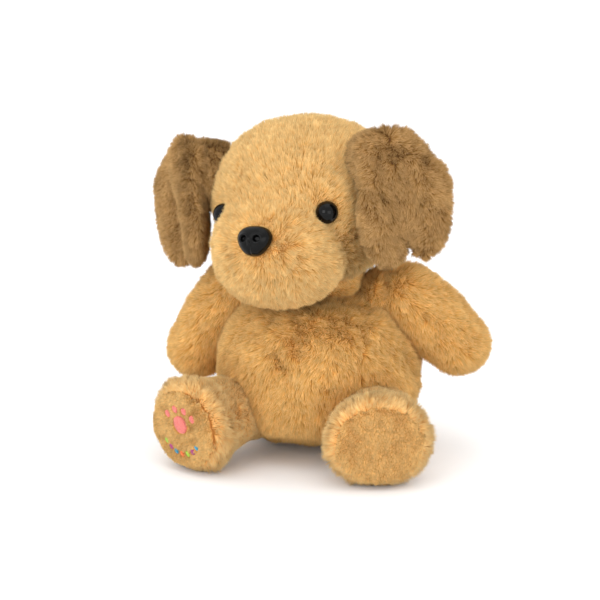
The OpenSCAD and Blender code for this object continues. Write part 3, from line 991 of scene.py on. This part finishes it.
# Each nostril: its middle, the radius of its floor and of its rim, its depth, and the height of its lip.
NOSTRIL_MIDDLE = (4.8 * MM, 0.5 * MM)
NOSTRIL_R = (1.2 * MM, 2.5 * MM)
NOSTRIL_DEPTH = 2.6 * MM
NOSTRIL_LIP = 0.35 * MM
GROOVE_W = 0.7 * MM
GROOVE_DEPTH = 0.7 * MM


def make_nose():
    """A moulded dog's nose: broad at the top, with two nostrils and a groove down the middle."""
    bm = bmesh.new()
    ball = bmesh.ops.create_icosphere(bm, subdivisions=6, radius=1)["verts"]
    p = np.array([v.co for v in ball])
    size = (np.abs(p) ** NOSE_POWER).sum(axis=1) ** (-1 / NOSE_POWER)
    p = p * size[:, None]
    p[:, 0] *= NOSE_HALF.x * (1 - 0.3 * step(0.3, -1, p[:, 1]))
    p[:, 2] *= np.where(p[:, 2] > 0, NOSE_HALF.z, NOSE_HALF.z / 2)
    p[:, 1] *= NOSE_HALF.y
    front = p[:, 2] > 0
    for side in SIDES.values():
        away = np.hypot((p[:, 0] - side * NOSTRIL_MIDDLE[0]) / 1.15, p[:, 1] - NOSTRIL_MIDDLE[1])
        p[:, 2] -= front * NOSTRIL_DEPTH * (1 - step(*NOSTRIL_R, away))
        p[:, 2] += front * NOSTRIL_LIP * np.exp(-(((away - 3.1 * MM) / (0.8 * MM)) ** 2))
    groove = np.exp(-((p[:, 0] / GROOVE_W) ** 2)) * step(1 * MM, -3 * MM, p[:, 1])
    p[:, 2] -= front * GROOVE_DEPTH * groove
    for vert, point in zip(ball, p):
        vert.co = point
    bmesh.ops.transform(bm, matrix=nose_place, verts=bm.verts)
    made = keep(bm, "nose_button", nose_plastic)
    declare(made, "head", "nose_plastic", "nose")


# ---------------------------------------------------------------- ears

# How long the pile on an ear grows.
EAR_PILE_L = 6.4 * MM


def ear_bend(piece):
    """Bakes the piece's place into its own mesh."""
    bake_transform(piece)


def make_ear(name):
    side = SIDES[name]
    cover = ear_cover(name)

    def fanned(p):
        """Ear pile runs outward from high on the flap, and downward."""
        q = local(p, EAR[name])
        way = np.stack([q[:, 0] / EAR_HALF.x, np.zeros(len(q)), q[:, 2] / EAR_HALF.z - 0.9], axis=1)
        return way @ np.array(EAR[name].to_3x3()).T

    def outside_head(p):
        q = local(p, HEAD)
        return muzzle_depth(q) > 0.5 * MM

    for face, sign in (("front", -1), ("back", 1)):
        fur = pile(f"ear_{name}_{face}_pile", cover, ear_pile,
                   lambda p: (local(p, EAR[name])[:, 1] * sign >= 0) & outside_head(p),
                   fanned, EAR_PILE_L, seed=60 + side * 3 + sign, lean=0.6, tuft=0.06, wave=0.3)
        ear_bend(fur)
        finish_of(fur, "plush_ear", f"ear_{name}_{face}")
    ear_bend(cover)
    finish_of(cover, "plush_ear", f"ear_{name}_padding", f"ear_{name}_seam")


# ---------------------------------------------------------------- arms and legs

SOLE_PILE_L = 2 * MM


def make_arm(name):
    side = SIDES[name]
    cover = arm_cover(name)
    declare(cover, f"arm_{name}", "plush_body", f"arm_{name}_stuffing")
    hand_ward = ARM[name].to_3x3() @ Vector((0, 0, 1))
    for face, sign in (("outer", side), ("inner", -side)):
        fur = pile(f"arm_{name}_{face}_pile", cover, belly_pile,
                   lambda p: (local(p, ARM[name])[:, 0] * sign <= 0)
                   & ((torso_reach(p) > 0.9) | (local(p, ARM[name])[:, 2] > 0)),
                   steady(hand_ward), PILE_L, seed=70 + side * 3 + sign)
        declare(fur, f"arm_{name}", "plush_body", f"arm_{name}_{face}")


def make_leg(name):
    side = SIDES[name]
    cover = leg_cover(name)
    declare(cover, f"leg_{name}", "plush_body", f"leg_{name}_stuffing")

    def bare_sole(p):
        q = local(p, LEG[name])
        on_sole = (sole_reach(q, name) < SOLE_R - 2 * MM) & (q[:, 2] > LEG_L - 9 * MM)
        return ~on_sole & ((q[:, 2] > -6 * MM) | (torso_reach(p) > 0.93))

    def toward_rim(p):
        """Leg pile runs to the foot, and fans out round the sole."""
        q = local(p, LEG[name])
        fan = step(LEG_L - 22 * MM, LEG_L - 8 * MM, q[:, 2])
        ring = unit(np.stack([q[:, 0], q[:, 1], np.zeros(len(q))], axis=1))
        way = ring * fan[:, None]
        way[:, 2] += (1 - fan) * 0.8
        return way @ np.array(LEG[name].to_3x3()).T

    def by_place(p):
        """Longest round the foot, trimmed beside the sole, and pressed where it lies on the floor."""
        q = local(p, LEG[name])
        rim = 1 + 0.3 * step(LEG_L - 30 * MM, LEG_L - 12 * MM, q[:, 2])
        trim = np.clip(0.4 + (sole_reach(q, name) - SOLE_R + 2 * MM) / (8 * MM), 0.4, 1)
        return rim * trim * np.clip((p[:, 2] + 1 * MM) / (9 * MM), 0.2, 1)

    for face, sign in (("upper", 1), ("lower", -1)):
        fur = pile(f"leg_{name}_{face}_pile", cover, lit_leg_pile,
                   lambda p: (local(p, LEG[name])[:, 1] * sign >= 0) & bare_sole(p),
                   toward_rim, PILE_L, seed=80 + side * 3 + sign, lean=0.6, length_at=by_place)
        declare(fur, f"leg_{name}", "plush_body", f"leg_{name}_{face}")


def make_sole(name):
    sole = sole_cover(name)
    declare(sole, f"leg_{name}", "plush_sole", f"sole_{name}")

    def face(p):
        q = local(p, LEG[name])
        return (q[:, 2] > LEG_L - SOLE_RISE) & ~stitched(q, name)

    fur = pile(f"sole_{name}_pile", sole, sole_pile, face, steady(DOWN), SOLE_PILE_L,
               seed=90 + SIDES[name], lean=0.5, base=0.36 * MM, wave=0.3)
    declare(fur, f"leg_{name}", "plush_sole")


# ---------------------------------------------------------------- stitching on the right sole

# Toes and dots lie on arcs round the sole's middle, in millimetres and degrees.
TOE_ARC, TOE_STEP = 15, 32
DOT_ARC, DOT_STEP = 17, 18
DOT_COLOURS = ("lime", "plum", "teal", "amber", "lime", "plum", "teal")


def around_sole(radius, angle):
    """A place on the sole, by its distance from the middle and its angle from the top."""
    return Vector((-radius * math.sin(math.radians(angle)), radius * math.cos(math.radians(angle))))


# The middle, radius and colour of each stitched disc.
PAW = [(Vector((0, 4)), 6.5, "pink")]
PAW += [(around_sole(TOE_ARC, TOE_STEP * (i - 1.5)), 2.7, "pink") for i in range(4)]
DOTS = [(around_sole(DOT_ARC, 180 + DOT_STEP * (i - 3)), 2.1, c) for i, c in enumerate(DOT_COLOURS)]
MOTIF = [(middle * MM, radius * MM, colour) for middle, radius, colour in PAW + DOTS]

SATIN_PITCH = 0.42 * MM
SATIN_SLANT = math.radians(35)
SATIN_CREST = 0.8 * MM
# How fat a thread is, as a share of the pitch, and how far its ends sink into the sole.
THREAD_FAT = 0.62
THREAD_SINK = 0.1 * MM


def stitched(q, name):
    """Whether points of a leg lie under the stitching."""
    under = np.zeros(len(q), bool)
    if name == "right":
        for middle, radius, _ in MOTIF:
            under |= np.hypot(q[:, 0] - middle.x, q[:, 1] - middle.y) < radius + 0.2 * MM
    return under


def satin(bm, middle, radius):
    """Fills a disc with raised parallel threads."""
    along, across = math.cos(SATIN_SLANT), math.sin(SATIN_SLANT)
    for row in range(int(2 * radius / SATIN_PITCH)):
        offset = (row + 0.5) * SATIN_PITCH - radius
        half = math.sqrt(max(radius**2 - offset**2, 0))
        thread = bmesh.ops.create_uvsphere(bm, u_segments=6, v_segments=6, radius=1)["verts"]
        for vert in thread:
            share = vert.co.z
            fat = THREAD_FAT * SATIN_PITCH * (1 - share**6) / max(math.hypot(vert.co.x, vert.co.y), 0.1)
            crest = (1 - share**4) * SATIN_CREST
            aside = vert.co.x * fat - offset
            x = middle.x + share * half * along + aside * across
            y = middle.y + share * half * across - aside * along
            lift = float(sole_height(np.array(math.hypot(x, y)))) + crest + vert.co.y * fat
            vert.co = (x, y, LEG_L - SOLE_RISE - THREAD_SINK + lift)
        place_on_leg(bm, thread, "right")


def make_stitching():
    names = sorted({colour for _, _, colour in MOTIF})
    for colour in names:
        bm = bmesh.new()
        for middle, radius, its_colour in MOTIF:
            if its_colour == colour:
                satin(bm, middle, radius)
        made = keep(bm, f"stitches_{colour}", thread_material(f"{colour}_thread", THREADS[colour]))
        declare(made, "leg_right", "stitching", *(["sole_embroidery"] if colour == "pink" else []))


# ---------------------------------------------------------------- the whole dog

make_torso()
make_neck()
make_tail()
make_head()
make_nose()
for side_name in SIDES:
    make_ear(side_name)
    make_arm(side_name)
    make_leg(side_name)
    make_sole(side_name)
make_stitching()
for side_name in SIDES:
    refinish(f"eye_{side_name}", eye_plastic)
    refinish(f"eye_washer_{side_name}", washer_plastic)
refinish("nose_washer", washer_plastic)

# ---------------------------------------------------------------- floor, light and camera

FLOOR_R = 30
ROOM_LIGHT = 1.32
LAMPS_AIM = Vector((0, 0, 0.12))
# The name, place, size and power of each lamp.
LAMPS = (
    ("key", (-0.5, -1.4, 0.55), 0.7, 5.5),
    ("fill", (0.9, -1.3, 0.35), 0.9, 4.5),
    ("top", (0.1, -0.3, 1.6), 1.0, 2),
)


def studio():
    """A pale paper floor in an evenly lit white room, with three soft lamps."""
    material, nodes, links, shader = new_material("floor_paper")
    place = nodes.new("ShaderNodeTexCoord")
    fibre = nodes.new("ShaderNodeTexNoise")
    fibre.inputs["Scale"].default_value = 40
    colours = ramp(nodes, [(0.0, (0.93, 0.93, 0.93)), (1.0, (0.95, 0.95, 0.95))])
    links.new(place.outputs["Object"], fibre.inputs["Vector"])
    links.new(fibre.outputs["Fac"], colours.inputs["Fac"])
    links.new(colours.outputs["Color"], shader.inputs["Base Color"])
    shader.inputs["Roughness"].default_value = 0.9
    shader.inputs["Specular IOR Level"].default_value = 0
    bm = bmesh.new()
    bmesh.ops.create_circle(bm, cap_ends=True, segments=64, radius=FLOOR_R)
    floor = keep_as_is(bm, "floor", material, smooth=False)
    room = bpy.data.worlds.new("studio")
    bpy.context.scene.world = room
    room.use_nodes = True
    room.node_tree.nodes["Background"].inputs["Color"].default_value = (1, 1, 1, 1)
    room.node_tree.nodes["Background"].inputs["Strength"].default_value = ROOM_LIGHT
    for name, place, size, power in LAMPS:
        lamp = bpy.data.lights.new(name, "AREA")
        lamp.size = size
        lamp.energy = power
        light = bpy.data.objects.new(name, lamp)
        bpy.context.scene.collection.objects.link(light)
        light.location = place
        light.rotation_euler = (LAMPS_AIM - Vector(place)).to_track_quat("-Z", "Y").to_euler()
    bpy.context.scene.view_settings.view_transform = "Standard"


CAMERA_AZIMUTH = math.radians(14)
CAMERA_ELEVATION = math.radians(12)
CAMERA_AWAY = 1.0
CAMERA_AIM = Vector((-9, -20, 109)) * MM


def camera():
    level = math.cos(CAMERA_ELEVATION)
    back = Vector((math.sin(CAMERA_AZIMUTH) * level, -math.cos(CAMERA_AZIMUTH) * level,
                   math.sin(CAMERA_ELEVATION)))
    lens = bpy.data.cameras.new("camera")
    lens.lens = 86
    lens.clip_start = 0.05
    made = bpy.data.objects.new("camera", lens)
    bpy.context.scene.collection.objects.link(made)
    made.location = CAMERA_AIM + back * CAMERA_AWAY
    made.rotation_euler = (-back).to_track_quat("-Z", "Y").to_euler()
    bpy.context.scene.camera = made


studio()
camera()
